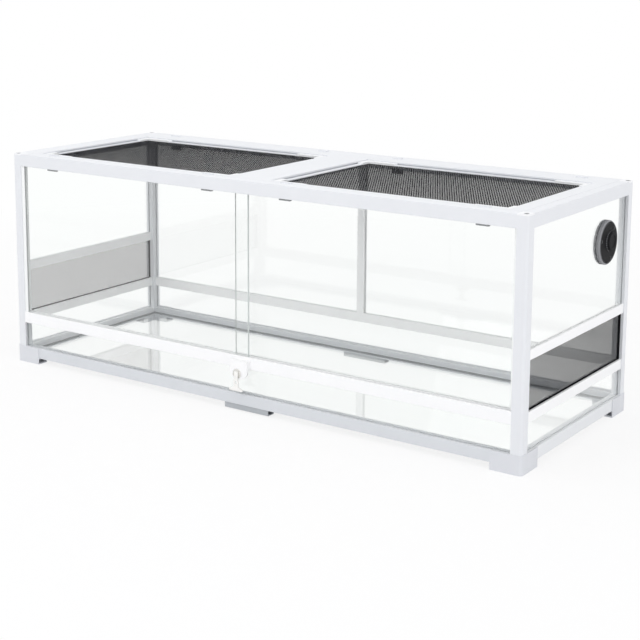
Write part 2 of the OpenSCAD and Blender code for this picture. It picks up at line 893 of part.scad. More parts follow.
// Head of the key: a neck with a ring eye, and a bell that flares out below it
module key_head_outline() {
    half = key_head_w / 2;
    flare_r = half - key_neck_w / 2;
    brim = key_head_l - key_brim_h;
    translate([-key_neck_w / 2, -brim]) square([key_neck_w, brim + keyway_h / 2 + 1]);
    translate([0, -key_eye_down]) circle(d = key_eye_d);
    difference() {
        translate([-half, -key_head_l])
            rounded_rect(key_head_w, flare_r + key_brim_h, key_corner_r);
        for (s = [-1, 1]) translate([s * half, flare_r - brim]) circle(flare_r);
    }
}

// Key: its blade in the keyway, its head hanging folded in front of the lock
module lock_key() {
    blade_l = lock_proud - seat_gap - 1;
    blade_w = keyway_w - 2 * key_play;
    blade_h = keyway_h - 2 * key_play;
    color(steel) {
        translate([lock_x, key_y, lock_z]) rotate([90, 0, 0]) difference() {
            linear_extrude(key_head_t) key_head_outline();
            translate([0, -key_eye_down, -over])
                cylinder(d = key_ring_d, h = key_head_t + 2 * over);
        }
        translate([lock_x - blade_w / 2, key_y, lock_z - blade_h / 2])
            cube([blade_w, blade_l + key_gap, blade_h]);
    }
}

// ---- Cable port ----

// Moves to the port's axis at the pane's outer face, with local +Z pointing outwards
module on_port_axis() {
    translate([port_x, port_y, port_z]) rotate([90, 0, 90]) children();
}

module port_screw_places() {
    for (a = [0:120:240]) rotate(port_screw_turn + a) translate([port_screw_r, 0, 0])
        children();
}

// Outer flange with its neck through the glass and a seat for the turning disc
module port_flange() {
    bevel = 2.5;
    ridge = 1.2;        // width of the ring that the groove leaves inside the bevel
    groove = [1.5, 1];  // width and depth of the ring groove
    groove_r = port_d / 2 - bevel - ridge;
    neck_r = port_hole_d / 2 - seat_gap;
    seat_r = port_disc_d / 2 + port_play;
    bore_r = port_disc_d / 2 - 2;
    seat_z = port_rim_t - port_disc_t - port_play;
    color(port_black) on_port_axis() difference() {
        rotate_extrude($fn = 96) polygon([
            [bore_r, -glass_t], [neck_r, -glass_t], [neck_r, 0], [port_d / 2, 0],
            [port_d / 2, port_rim_t - bevel], [port_d / 2 - bevel, port_rim_t],
            [groove_r, port_rim_t], [groove_r, port_rim_t - groove[1]],
            [groove_r - groove[0], port_rim_t - groove[1]],
            [groove_r - groove[0], port_rim_t],
            [seat_r, port_rim_t], [seat_r, seat_z], [bore_r, seat_z]
        ]);
        port_screw_places() {
            translate([0, 0, -glass_t - over])
                cylinder(d = port_screw_d + 0.4, h = port_rim_t + glass_t + 2 * over);
            translate([0, 0, port_rim_t - 2]) cylinder(d = port_screw_head + 0.8, h = 2 + over);
        }
    }
}

// Inner ring, which clamps the flange to the glass
module port_ring() {
    bore_r = port_disc_d / 2 - 2;
    notches = 12;
    notch_d = 6;
    color(port_black) on_port_axis() translate([0, 0, -glass_t - port_ring_t])
        difference() {
            cylinder(d = port_d, h = port_ring_t, $fn = 96);
            translate([0, 0, -over]) cylinder(r = bore_r, h = port_ring_t + 2 * over, $fn = 96);
            for (a = [0:360 / notches:359]) rotate(a)
                translate([port_d / 2 + notch_d / 4, 0, -over])
                    cylinder(d = notch_d, h = port_ring_t + 2 * over);
            port_screw_places() translate([0, 0, -over])
                cylinder(d = port_screw_d + 0.1, h = port_ring_t + 2 * over);
        }
}

module to_cable_hole() {
    rotate(port_angle) translate([port_ecc, 0, 0]) children();
}

// Turning disc with the cable hole off its centre
module port_disc() {
    color(port_black) on_port_axis()
        translate([0, 0, port_rim_t - port_disc_t]) difference() {
            cylinder(d = port_disc_d, h = port_disc_t, $fn = 96);
            to_cable_hole() translate([0, 0, -over])
                cylinder(d = port_bore_d, h = port_disc_t + 2 * over);
        }
}

// Cap: a round base, a six-sided grip and a hollow plug in the cable hole
module port_cap() {
    plug_r = port_bore_d / 2 - port_play;
    plug_wall = 2;
    plug_z = port_rim_t - port_disc_t;
    base_z = port_rim_t + port_play;
    color(port_black) on_port_axis() to_cable_hole() difference() {
        union() {
            translate([0, 0, base_z]) cylinder(d = port_cap_d, h = port_base_h);
            translate([0, 0, base_z + port_base_h])
                cylinder(d1 = port_cap_d - 1, d2 = port_cap_top_d,
                         h = port_cap_h - port_base_h, $fn = 6);
            translate([0, 0, plug_z]) cylinder(r = plug_r, h = base_z - plug_z + over);
        }
        translate([0, 0, plug_z - over])
            cylinder(r = plug_r - plug_wall,
                     h = base_z + port_cap_h - plug_wall - plug_z + over);
    }
}

module port_screws() {
    color(steel) on_port_axis() port_screw_places() {
        translate([0, 0, port_rim_t - 1.8]) cylinder(d = port_screw_head, h = 1.4);
        translate([0, 0, -glass_t - port_ring_t + 0.5])
            cylinder(d = port_screw_d, h = port_rim_t + glass_t + port_ring_t - 1.5);
    }
}

post_front_left();
post_front_right();
post_back_left();
post_back_right();
foot_front_left();
foot_front_right();
foot_back_left();
foot_back_right();
centre_feet();
bottom_rail_front();
bottom_rail_back();
bottom_rail_left();
bottom_rail_right();
floor_glass();
top_rail_front();
top_rail_back();
top_rail_left();
top_rail_right();
top_centre_bar();
lower_door_track();
upper_door_track();
back_mid_rail();
back_mullion();
side_mid_rail_left();
side_mid_rail_right();
side_vent_rail_left();
side_vent_rail_right();
front_lower_glass();
back_lower_glass();
side_lower_glass_left();
side_lower_glass_right();
side_upper_glass_left();
side_upper_glass_right();
back_upper_glass_left();
back_upper_glass_right();
side_vent_left();
side_vent_right();
front_door();
rear_door();
door_channel_left();
door_channel_right();
lid_frame_left();
lid_frame_right();
lid_corners_left();
lid_corners_right();
lid_mesh_left();
lid_mesh_right();
top_clips();
post_caps();
post_screws();
foot_screws();
lock_housing();
lock_cylinder();
lock_key();
port_flange();
port_ring();
port_disc();
port_cap();
port_screws();
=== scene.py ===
# Looks for a long glass terrarium: white PVC profiles, float glass, black perforated lids,
# fine side vents, a plated door lock with its key, and a black cable port.
from math import atan2, cos, pi, radians, sin, sqrt

import bpy
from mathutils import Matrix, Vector


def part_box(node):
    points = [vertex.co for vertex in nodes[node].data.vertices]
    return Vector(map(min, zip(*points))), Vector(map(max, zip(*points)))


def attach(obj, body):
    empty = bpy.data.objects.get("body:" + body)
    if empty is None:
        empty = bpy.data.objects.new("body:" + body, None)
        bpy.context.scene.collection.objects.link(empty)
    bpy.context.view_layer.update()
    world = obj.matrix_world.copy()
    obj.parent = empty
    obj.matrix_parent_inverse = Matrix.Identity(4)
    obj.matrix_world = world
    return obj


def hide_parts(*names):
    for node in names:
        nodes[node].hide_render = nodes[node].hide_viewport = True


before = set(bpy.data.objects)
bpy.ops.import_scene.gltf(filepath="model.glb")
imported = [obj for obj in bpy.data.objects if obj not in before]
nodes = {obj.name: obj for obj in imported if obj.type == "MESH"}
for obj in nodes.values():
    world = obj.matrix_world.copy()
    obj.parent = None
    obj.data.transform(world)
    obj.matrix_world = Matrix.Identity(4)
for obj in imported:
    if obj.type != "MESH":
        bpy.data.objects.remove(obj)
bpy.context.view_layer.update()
mm = 0.001
print("frame loaded:", len(nodes), "nodes")


def linear(code):                        # sRGB hex to the shader's linear colour
    parts = [int(code[i:i + 2], 16) / 255 for i in (1, 3, 5)]
    return [c / 12.92 if c <= 0.04045 else ((c + 0.055) / 1.055) ** 2.4 for c in parts] + [1]


def addNode(tree, kind, settings={}, inputs={}):
    node = tree.nodes.new(kind)
    for key, value in settings.items():
        setattr(node, key, value)
    for key, value in inputs.items():
        if isinstance(value, bpy.types.NodeSocket):
            tree.links.new(value, node.inputs[key])
        else:
            node.inputs[key].default_value = value
    return node


def newMaterial(name, colours, roughness, patch, grain=None, height=0, ior=None, metallic=0,
                gloss=0.5):
    # The colour drifts between two hex values over soft patches. A finer grain moves the
    # roughness between its two values and lifts the surface by the height. With no grain,
    # the roughness is one number.
    material = bpy.data.materials.new(name)
    material.use_nodes = True
    tree = material.node_tree
    shader = tree.nodes["Principled BSDF"]
    shader.inputs["Metallic"].default_value = metallic
    shader.inputs["Specular IOR Level"].default_value = gloss
    if ior:
        shader.inputs["IOR"].default_value = ior
    place = addNode(tree, "ShaderNodeTexCoord").outputs["Object"]
    fields = []
    for cell in filter(None, (patch, grain)):
        sized = addNode(tree, "ShaderNodeMapping", inputs={
            "Vector": place, "Scale": [1 / c for c in cell]})
        noise = addNode(tree, "ShaderNodeTexNoise", inputs={
            "Vector": sized.outputs["Vector"], "Scale": 1, "Detail": 3})
        fields.append(noise.outputs["Fac"])
    colour = addNode(tree, "ShaderNodeMix", {"data_type": "RGBA"}, {
        0: fields[0], 6: linear(colours[0]), 7: linear(colours[1])})
    tree.links.new(colour.outputs[2], shader.inputs["Base Color"])
    if grain:
        sheen = addNode(tree, "ShaderNodeMapRange", inputs={
            "Value": fields[-1], "To Min": roughness[0], "To Max": roughness[1]})
        tree.links.new(sheen.outputs["Result"], shader.inputs["Roughness"])
    else:
        shader.inputs["Roughness"].default_value = roughness
    if height:
        bump = addNode(tree, "ShaderNodeBump", inputs={
            "Height": fields[-1], "Distance": height})
        tree.links.new(bump.outputs["Normal"], shader.inputs["Normal"])
    return material


def colourSides(material, axis, colour, reach=0.5):
    # Faces that look along the axis by less than the reach are coloured apart
    tree = material.node_tree
    base = tree.nodes["Principled BSDF"].inputs["Base Color"]
    place = addNode(tree, "ShaderNodeTexCoord")
    split = addNode(tree, "ShaderNodeSeparateXYZ", inputs={0: place.outputs["Normal"]})
    size = addNode(tree, "ShaderNodeMath", {"operation": "ABSOLUTE"},
                   {0: split.outputs[axis]})
    side = addNode(tree, "ShaderNodeMath", {"operation": "LESS_THAN"},
                   {0: size.outputs[0], 1: reach})
    mixed = addNode(tree, "ShaderNodeMix", {"data_type": "RGBA"}, {
        0: side.outputs[0], 6: base.links[0].from_socket, 7: linear(colour)})
    tree.links.new(mixed.outputs[2], base)


profileLook = {
    "roughness": (0.33, 0.42), "ior": 1.53, "patch": 60 * mm,
    "line": 1.6 * mm,                    # die lines are nearer 0.3 mm, drawn coarser to show
    "lineLength": 400 * mm, "lineHeight": 0.02 * mm}


def extrudedPvc(name, axis, colours):
    # Rigid PVC drawn through a die: an even satin white with faint lines along the profile
    look = profileLook
    lines = [look["line"]] * 3
    lines[axis] = look["lineLength"]
    return newMaterial(name, colours, look["roughness"], [look["patch"]] * 3, lines,
                       look["lineHeight"], look["ior"])


def mouldedAbs(name, colours):
    # Injection-moulded ABS: a little softer than the profiles, with a fine spark texture,
    # whose real grit of 0.1 mm is drawn coarser to show
    return newMaterial(name, colours, roughness=(0.38, 0.47), patch=[25 * mm] * 3,
                       grain=[0.9 * mm] * 3, height=0.015 * mm, ior=1.54)


def floatGlass(name, axis):
    # Clear float glass: colourless faces, and cut edges that gather the iron's green
    material = newMaterial(name, ("#ffffff", "#fdfffe"), roughness=0,
                           patch=[300 * mm] * 3, ior=1.52)
    colourSides(material, axis, "#a9c4ba")
    tree = material.node_tree
    shader = tree.nodes["Principled BSDF"]
    shader.inputs["Transmission Weight"].default_value = 1
    path = addNode(tree, "ShaderNodeLightPath")
    clear = addNode(tree, "ShaderNodeBsdfTransparent", inputs={"Color": linear("#fdfefe")})
    mixed = addNode(tree, "ShaderNodeMixShader", inputs={
        0: path.outputs["Is Shadow Ray"], 1: shader.outputs[0], 2: clear.outputs[0]})
    tree.links.new(mixed.outputs[0], tree.nodes["Material Output"].inputs["Surface"])
    return material


def groundGlass():
    # The doors' edges after grinding: pale and matt, as the fine pits scatter the light
    return newMaterial("ground glass edge", ("#dbe3e0", "#e4eae8"), roughness=(0.5, 0.62),
                       patch=[12 * mm] * 3, grain=[0.8 * mm] * 3, height=0.02 * mm, ior=1.52)


def powderCoat():
    # Steel sheet and wire in black powder coat: near black and slightly uneven, so matt
    # that it hardly shines even when seen at a low angle
    return newMaterial("black powder coat", ("#121215", "#1b1b1f"), roughness=(0.75, 0.9),
                       patch=[6 * mm] * 3, grain=[2 * mm] * 3, ior=1.5, gloss=0.06)


def greyNylon():
    # Moulded grey nylon: matt, a little mottled
    return newMaterial("grey nylon", ("#8c8e92", "#9b9da1"), roughness=(0.45, 0.55),
                       patch=[5 * mm] * 3, grain=[0.9 * mm] * 3, height=0.02 * mm, ior=1.53)


def softPvc():
    # Flexible PVC drawn as a channel, smoother than the rigid profiles. Its milky white is
    # lighter than theirs as painted light, to lift the shade of its recess
    return newMaterial("soft PVC painted light", ("#f4f7f6", "#fafbfb"), roughness=(0.25, 0.34),
                       patch=[4 * mm, 4 * mm, 200 * mm], grain=[1.6 * mm, 1.6 * mm, 200 * mm],
                       height=0.02 * mm, ior=1.53)


def passivatedSteel(name, colours):
    # Zinc-plated steel under a dark passivated film, cloudy and half matt
    return newMaterial(name, colours, roughness=(0.34, 0.52), patch=[2 * mm] * 3,
                       grain=[0.8 * mm] * 3, metallic=1)


def nickelPlate():
    # Nickel-plated zinc casting, polished: bright, a little warm, with hairlines
    return newMaterial("nickel plate", ("#dcdbd8", "#e8e7e4"), roughness=(0.1, 0.24),
                       patch=[3 * mm] * 3, grain=[3 * mm, 3 * mm, 0.4 * mm], metallic=1)


def keyPlastic():
    # Glossy moulded ABS, a warm white
    return newMaterial("warm white ABS", ("#fbfaf7", "#f6f5f1"), roughness=(0.22, 0.28),
                       patch=[8 * mm] * 3, grain=[1.2 * mm] * 3, height=0.01 * mm, ior=1.54)


def blackAbs(name, side):
    # Moulded black ABS with a matt grained face. Its sides have a colour of their own, a painted
    # sheen where they would catch the light
    material = newMaterial(name, ("#0f1012", "#19191b"), roughness=(0.5, 0.65),
                           patch=[9 * mm] * 3, grain=[0.9 * mm] * 3, height=0.02 * mm,
                           ior=1.54, gloss=0.1)
    colourSides(material, 0, side, reach=0.8)
    return material


pvc = [extrudedPvc("drawn PVC " + letter, i, ("#eaecef", "#e5e7eb"))
       for i, letter in enumerate("XYZ")]
# Painted shade and light: the front and back bottom rails are darker, and the side bottom rails
# lighter, than the other profiles, for how the light falls on them
basePvcPaintedShadeAndLight = [extrudedPvc("drawn base PVC X painted shade", 0, ("#dde0e4", "#d9dce0")),
           extrudedPvc("drawn base PVC Y painted light", 1, ("#eef0f2", "#eaecef"))]
# Painted light: the door tracks, mid and vent rails and the back mullion are near white, whiter
# than the other profiles, to lift the shade they sit in
trackPvcPaintedLight = [extrudedPvc("drawn track PVC painted light " + letter, i, ("#fefefe", "#fafbfc"))
            for i, letter in enumerate("XYZ")]
glass = [floatGlass("float glass " + letter, i) for i, letter in enumerate("XYZ")]
whiteAbs = mouldedAbs("white ABS", ("#f7f8f9", "#f2f3f5"))
lockAbs = mouldedAbs("lock ABS", ("#ffffff", "#fbfbfc"))
footAbs = mouldedAbs("foot ABS", ("#e0e2e6", "#dadce1"))
# Painted shade: the centre feet are grey for the shade under the bottom rail
centreFeetShadeAbs = mouldedAbs("centre feet ABS painted shade", ("#b8bcc0", "#aeb2b6"))
groundEdge = groundGlass()
coat, clipGrey, channelPvcPaintedLight = powderCoat(), greyNylon(), softPvc()
darkZinc = passivatedSteel("dark zinc", ("#2e3033", "#3c3e42"))
blackZinc = passivatedSteel("black zinc", ("#17181a", "#232426"))
nickel, keyWhite = nickelPlate(), keyPlastic()
# The flange's sides carry a light grey painted sheen; the cap's sides stay near black
portBlack, capBlack = blackAbs("black ABS", "#97989b"), blackAbs("cap ABS", "#1c1d1f")
# The port's ring is light grey, painted light against the shade it sits in behind the glass, and
# the tips of its cap's ribs carry a painted highlight
ringPaintedLight = mouldedAbs("ring ABS painted light", ("#a4a5a8", "#9b9c9f"))
ribTipHighlightAbs = mouldedAbs("black ABS painted highlight", ("#a9aaad", "#8d8e92"))


def dress(material, *names):             # a carried-over node gets its finish
    for name in names:
        for place in nodes[name].material_slots:
            place.material = material


dress(basePvcPaintedShadeAndLight[0], "bottom_rail_front", "bottom_rail_back")
dress(basePvcPaintedShadeAndLight[1], "bottom_rail_left", "bottom_rail_right")
dress(pvc[0], "top_rail_front", "top_rail_back", "lid_frame_left", "lid_frame_right")
dress(pvc[1], "top_rail_left", "top_rail_right", "top_centre_bar")
dress(pvc[2], "post_front_left", "post_front_right", "post_back_left", "post_back_right")
dress(trackPvcPaintedLight[0], "lower_door_track", "upper_door_track", "back_mid_rail")
dress(trackPvcPaintedLight[1], "side_mid_rail_left", "side_mid_rail_right", "side_vent_rail_left",
      "side_vent_rail_right")
dress(trackPvcPaintedLight[2], "back_mullion")
dress(whiteAbs, "lid_corners_left", "lid_corners_right", "post_caps")
dress(lockAbs, "lock_housing")
dress(footAbs, "foot_front_left", "foot_front_right", "foot_back_left", "foot_back_right")
dress(centreFeetShadeAbs, "centre_feet")
dress(glass[1], "front_lower_glass", "back_lower_glass", "back_upper_glass_left",
      "back_upper_glass_right")
dress(glass[0], "side_lower_glass_left", "side_lower_glass_right", "side_upper_glass_left",
      "side_upper_glass_right")
dress(glass[2], "floor_glass")
dress(clipGrey, "top_clips")
dress(channelPvcPaintedLight, "door_channel_left", "door_channel_right")
dress(portBlack, "port_flange")
dress(ringPaintedLight, "port_ring")
dress(capBlack, "port_disc")
print("materials made and set on the frame's nodes")


def makeActive(obj):
    bpy.ops.object.select_all(action="DESELECT")
    obj.select_set(True)
    bpy.context.view_layer.objects.active = obj


def settle(name):                        # names the new object and puts its place in its mesh
    obj = bpy.context.object
    obj.name = obj.data.name = name
    bpy.ops.object.transform_apply(location=True, rotation=True, scale=True)
    return obj


def addBlock(name, low, high):
    bpy.ops.object.select_all(action="DESELECT")
    bpy.ops.mesh.primitive_cube_add(size=1, location=[(a + b) / 2 for a, b in zip(low, high)],
                                    scale=[b - a for a, b in zip(low, high)])
    return settle(name)


def addRound(name, radius, depth, place=(0, 0, 0), turn=(0, 0, 0), sides=48):
    bpy.ops.object.select_all(action="DESELECT")
    bpy.ops.mesh.primitive_cylinder_add(vertices=sides, radius=radius, depth=depth,
                                        location=place, rotation=turn)
    return settle(name)


def editFaces(obj, wanted):              # opens edit mode with the wanted faces selected
    makeActive(obj)
    bpy.ops.object.mode_set(mode="EDIT")
    bpy.ops.mesh.select_mode(type="FACE")
    bpy.ops.mesh.select_all(action="DESELECT")
    bpy.ops.object.mode_set(mode="OBJECT")
    for face in obj.data.polygons:
        face.select = wanted(face.center, face.normal)
    bpy.ops.object.mode_set(mode="EDIT")


def editEdges(obj, wanted):              # the same for edges, by their two ends
    makeActive(obj)
    bpy.ops.object.mode_set(mode="EDIT")
    bpy.ops.mesh.select_mode(type="EDGE")
    bpy.ops.mesh.select_all(action="DESELECT")
    bpy.ops.object.mode_set(mode="OBJECT")
    points = obj.data.vertices
    for edge in obj.data.edges:
        edge.select = wanted(*[points[i].co for i in edge.vertices])
    bpy.ops.object.mode_set(mode="EDIT")


def closeEdit(smooth=30):
    bpy.ops.object.mode_set(mode="OBJECT")
    bpy.ops.object.shade_smooth_by_angle(angle=radians(smooth))


def pull(x, y, z):                       # extrudes what is selected
    bpy.ops.mesh.extrude_region_move(TRANSFORM_OT_translate={"value": (x, y, z)})


def applyModifier(obj, kind, settings):
    makeActive(obj)
    modifier = obj.modifiers.new(kind.lower(), kind)
    for key, value in settings.items():
        setattr(modifier, key, value)
    bpy.ops.object.modifier_apply(modifier=modifier.name)


def cutAway(obj, cutter):
    applyModifier(obj, "BOOLEAN", {"object": cutter, "operation": "DIFFERENCE",
                                   "solver": "EXACT"})
    bpy.data.objects.remove(cutter)


def copyOf(obj, name):                   # a copy with its own mesh
    twin = obj.copy()
    twin.data = obj.data.copy()
    twin.name = twin.data.name = name
    bpy.context.collection.objects.link(twin)
    return twin


def joinPieces(pieces):
    makeActive(pieces[0])
    for piece in pieces[1:]:
        piece.select_set(True)
    bpy.ops.object.join()
    return pieces[0]


def finish(piece, material, body, slot, *stoodFor):
    piece.data.materials.clear()
    piece.data.materials.append(material)
    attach(piece, body)
    if stoodFor:
        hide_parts(*stoodFor)


def wireRow(name, start, run, step, count, wire):
    # One six-sided wire is drawn out of a small disc, then set out in a row
    bpy.ops.object.select_all(action="DESELECT")
    turn = Vector((0, 0, 1)).rotation_difference(run).to_euler()
    bpy.ops.mesh.primitive_circle_add(vertices=6, radius=wire / 2, fill_type="NGON",
                                      location=start, rotation=turn)
    row = settle(name)
    editFaces(row, lambda centre, normal: True)
    pull(*run)
    bpy.ops.mesh.select_all(action="SELECT")
    bpy.ops.mesh.normals_make_consistent(inside=False)
    closeEdit(70)
    applyModifier(row, "ARRAY", {"count": count, "use_relative_offset": False,
                                 "use_constant_offset": True,
                                 "constant_offset_displace": step})
    return row


# The holes are staggered at 60 degrees. Their real pitch is 4.5 mm, drawn coarser to show
lidScreen = {"pitch": 5 * mm, "hole": 3.7 * mm, "thick": 0.4 * mm, "seat": 1 * mm}


def makeLidScreen(side):
    # Perforated sheet: a honeycomb whose edges are widened to webs, and its cells taken out
    look = lidScreen
    name = "lid_mesh_" + side
    low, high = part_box(name)
    pitch, rise = look["pitch"], look["pitch"] * cos(radians(30))
    spanX, spanY = high.x - low.x - 2 * look["seat"], high.y - low.y - 2 * look["seat"]
    countX, countY = int(spanX / pitch - 0.5), int((spanY - pitch) / rise / 2)
    start = Vector(((low.x + high.x) / 2 - (countX - 0.5) * pitch / 2,
                    (low.y + high.y) / 2 - (countY - 0.5) * rise, high.z))
    cells = []
    for shift in (Vector((0, 0, 0)), Vector((pitch / 2, rise, 0))):
        bpy.ops.object.select_all(action="DESELECT")
        bpy.ops.mesh.primitive_circle_add(vertices=6, radius=pitch / 2 / cos(radians(30)),
                                          fill_type="NGON", location=start + shift)
        cells.append(settle("cell"))
    sheet = joinPieces(cells)
    sheet.name = sheet.data.name = "lid_screen_" + side
    for count, step in ((countX, (pitch, 0, 0)), (countY, (0, 2 * rise, 0))):
        applyModifier(sheet, "ARRAY", {"count": count, "use_relative_offset": False,
                                       "use_constant_offset": True,
                                       "constant_offset_displace": step})
    editFaces(sheet, lambda centre, normal: True)
    bpy.ops.mesh.remove_doubles(threshold=0.01 * mm)
    bpy.ops.mesh.bevel(offset=(pitch - look["hole"]) / 2, segments=1, affect="EDGES")
    bpy.ops.object.mode_set(mode="OBJECT")
    editFaces(sheet, lambda centre, normal: False)
    bpy.ops.mesh.select_face_by_sides(number=5, type="GREATER")
    bpy.ops.mesh.delete(type="FACE")
    bpy.ops.object.mode_set(mode="OBJECT")
    applyModifier(sheet, "SOLIDIFY", {"thickness": look["thick"], "offset": -1})
    finish(sheet, coat, side + "_lid", "screen_mesh", name)


for side in ("left", "right"):
    makeLidScreen(side)
print("lid screens done")


ventScreen = {"pitch": 1.75 * mm, "wire": 0.43 * mm, "trim": 6.4 * mm, "round": 0.6 * mm,
              "seat": 1 * mm,            # how far the wires reach into the trim
              "lay": 0.8}                # how far the two layers lie apart, in wires


def makeVent(side):
    # A fine screen clamped in a flat border as thick as the glass
    look = ventScreen
    name = "side_vent_" + side
    low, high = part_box(name)
    middle = (low + high) / 2
    border = addBlock("border", low, high)
    editFaces(border, lambda centre, normal: abs(normal.x) > 0.9)
    bpy.ops.mesh.inset(thickness=look["trim"], use_individual=True)
    bpy.ops.mesh.bridge_edge_loops()
    bpy.ops.mesh.select_all(action="SELECT")
    bpy.ops.mesh.normals_make_consistent(inside=False)
    closeEdit()
    applyModifier(border, "BEVEL", {"width": look["round"], "segments": 2})
    inner, wire, pitch = look["trim"] - look["seat"], look["wire"], look["pitch"]
    spanY, spanZ = high.y - low.y - 2 * inner, high.z - low.z - 2 * inner
    upright = wireRow("rods", (middle.x, low.y + inner, low.z + inner),
                      Vector((0, 0, spanZ)), (0, pitch, 0), int(spanY / pitch) + 1, wire)
    level = wireRow("rods", (middle.x + wire * look["lay"], low.y + inner, low.z + inner),
                    Vector((0, spanY, 0)), (0, 0, pitch), int(spanZ / pitch) + 1, wire)
    vent = joinPieces([border, upright, level])
    vent.name = vent.data.name = "vent_screen_" + side
    finish(vent, coat, "tank", "screen_mesh", name)


for side in ("left", "right"):
    makeVent(side)
print("side vents done")


doorPane = {"corner": 1.5 * mm, "arris": 0.5 * mm}


def makeDoor(name):
    # The pane's corners are rounded and its long edges ground to a small arris
    low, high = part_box(name)
    pane = addBlock(name + "_pane", low, high)
    editEdges(pane, lambda a, b: abs(a.y - b.y) > 1 * mm)
    bpy.ops.mesh.bevel(offset=doorPane["corner"], segments=4)
    closeEdit()
    editFaces(pane, lambda centre, normal: abs(normal.y) > 0.9)
    bpy.ops.mesh.bevel(offset=doorPane["arris"], segments=1)
    closeEdit()
    finish(pane, glass[1], name, "pane", name)
    pane.data.materials.append(groundEdge)
    for face in pane.data.polygons:
        face.material_index = int(abs(face.normal.y) < 0.9)


for name in ("front_door", "rear_door"):
    makeDoor(name)
print("doors done")


screwShape = {"head": 9.5 * mm, "thick": 1.4 * mm, "shank": 4 * mm, "length": 22 * mm,
              "round": 0.7 * mm, "tip": 2 * mm, "taper": 0.6,
              "crossLong": 5 * mm, "crossWide": 1.3 * mm, "crossDeep": 1 * mm,
              "crossTop": 1 * mm}


def makeScrew():
    # A low pan head with a cross recess, its top at z = 0 and its shank below
    look = screwShape
    screw = addRound("screw", look["head"] / 2, look["thick"], (0, 0, -look["thick"] / 2),
                     sides=32)
    editFaces(screw, lambda centre, normal: normal.z > 0.9)
    bpy.ops.mesh.bevel(offset=look["round"], segments=3)
    closeEdit()
    editFaces(screw, lambda centre, normal: normal.z < -0.9)
    bpy.ops.mesh.inset(thickness=(look["head"] - look["shank"]) / 2)
    pull(0, 0, -look["length"] + look["tip"])
    pull(0, 0, -look["tip"])
    bpy.ops.transform.resize(value=(look["taper"], look["taper"], 1))
    closeEdit()
    half, wide, deep = look["crossLong"] / 2, look["crossWide"] / 2, look["crossDeep"]
    for x, y in ((half, wide), (wide, half)):
        cutter = addBlock("cutter", (-x, -y, -deep), (x, y, look["crossTop"]))
        editFaces(cutter, lambda centre, normal: normal.z < -0.9)
        bpy.ops.transform.resize(value=(look["taper"], look["taper"], 1))
        closeEdit()
        cutAway(screw, cutter)
    return screw


def setScrew(screw, name, material, place, turn, scale, node):
    twin = copyOf(screw, name)
    twin.location, twin.rotation_euler, twin.scale = place, turn, [scale] * 3
    makeActive(twin)
    bpy.ops.object.transform_apply(location=True, rotation=True, scale=True)
    bpy.ops.object.shade_smooth_by_angle(angle=radians(30))
    finish(twin, material, "tank", "screw_steel", node)


portAxis = Vector((602.5 * mm, 112.5 * mm, 354 * mm))
screwPlaces = {"corner": (600.1 * mm, 215.1 * mm), "postTop": 456.4 * mm,
               "footTop": 0.6 * mm, "postTurn": (20, 35), "footTurn": 50,
               "portAngles": (49, 169, 289), "portReach": 32.75 * mm, "portTop": 6.6 * mm,
               "portScale": 0.63}


def setScrews():
    # One screw is copied to each corner's top and underside and round the port
    look, screw = screwPlaces, makeScrew()
    corners = [(x, y) for x in (-1, 1) for y in (-1, 1)]
    for number, (x, y) in enumerate(corners, 1):
        across, along = x * look["corner"][0], y * look["corner"][1]
        first, step = look["postTurn"]
        setScrew(screw, f"post_screw_{number}", darkZinc, (across, along, look["postTop"]),
                 (0, 0, radians(first + step * number)), 1, "post_screws")
        setScrew(screw, f"foot_screw_{number}", darkZinc, (across, along, look["footTop"]),
                 (pi, 0, radians(look["footTurn"] * number)), 1, "foot_screws")
    for number, angle in enumerate(look["portAngles"], 1):
        y, z = cos(radians(angle)), sin(radians(angle))
        place = portAxis + Vector((look["portTop"], look["portReach"] * y,
                                   look["portReach"] * z))
        setScrew(screw, f"port_screw_{number}", blackZinc, place, (0, pi / 2, 0),
                 look["portScale"], "port_screws")
    bpy.data.objects.remove(screw)


setScrews()
print("screws done")


capShape = {"base": 19, "thick": 2, "ribs": 28, "rib": 0.7, "seat": 7.1, "plug": 11.8,
            "foot": 17.3, "top": 16.2, "up": 1.5, "rim": 3.2, "dish": 0.9,
            "round": 0.35, "tipHighlight": 0.1}   # in mm


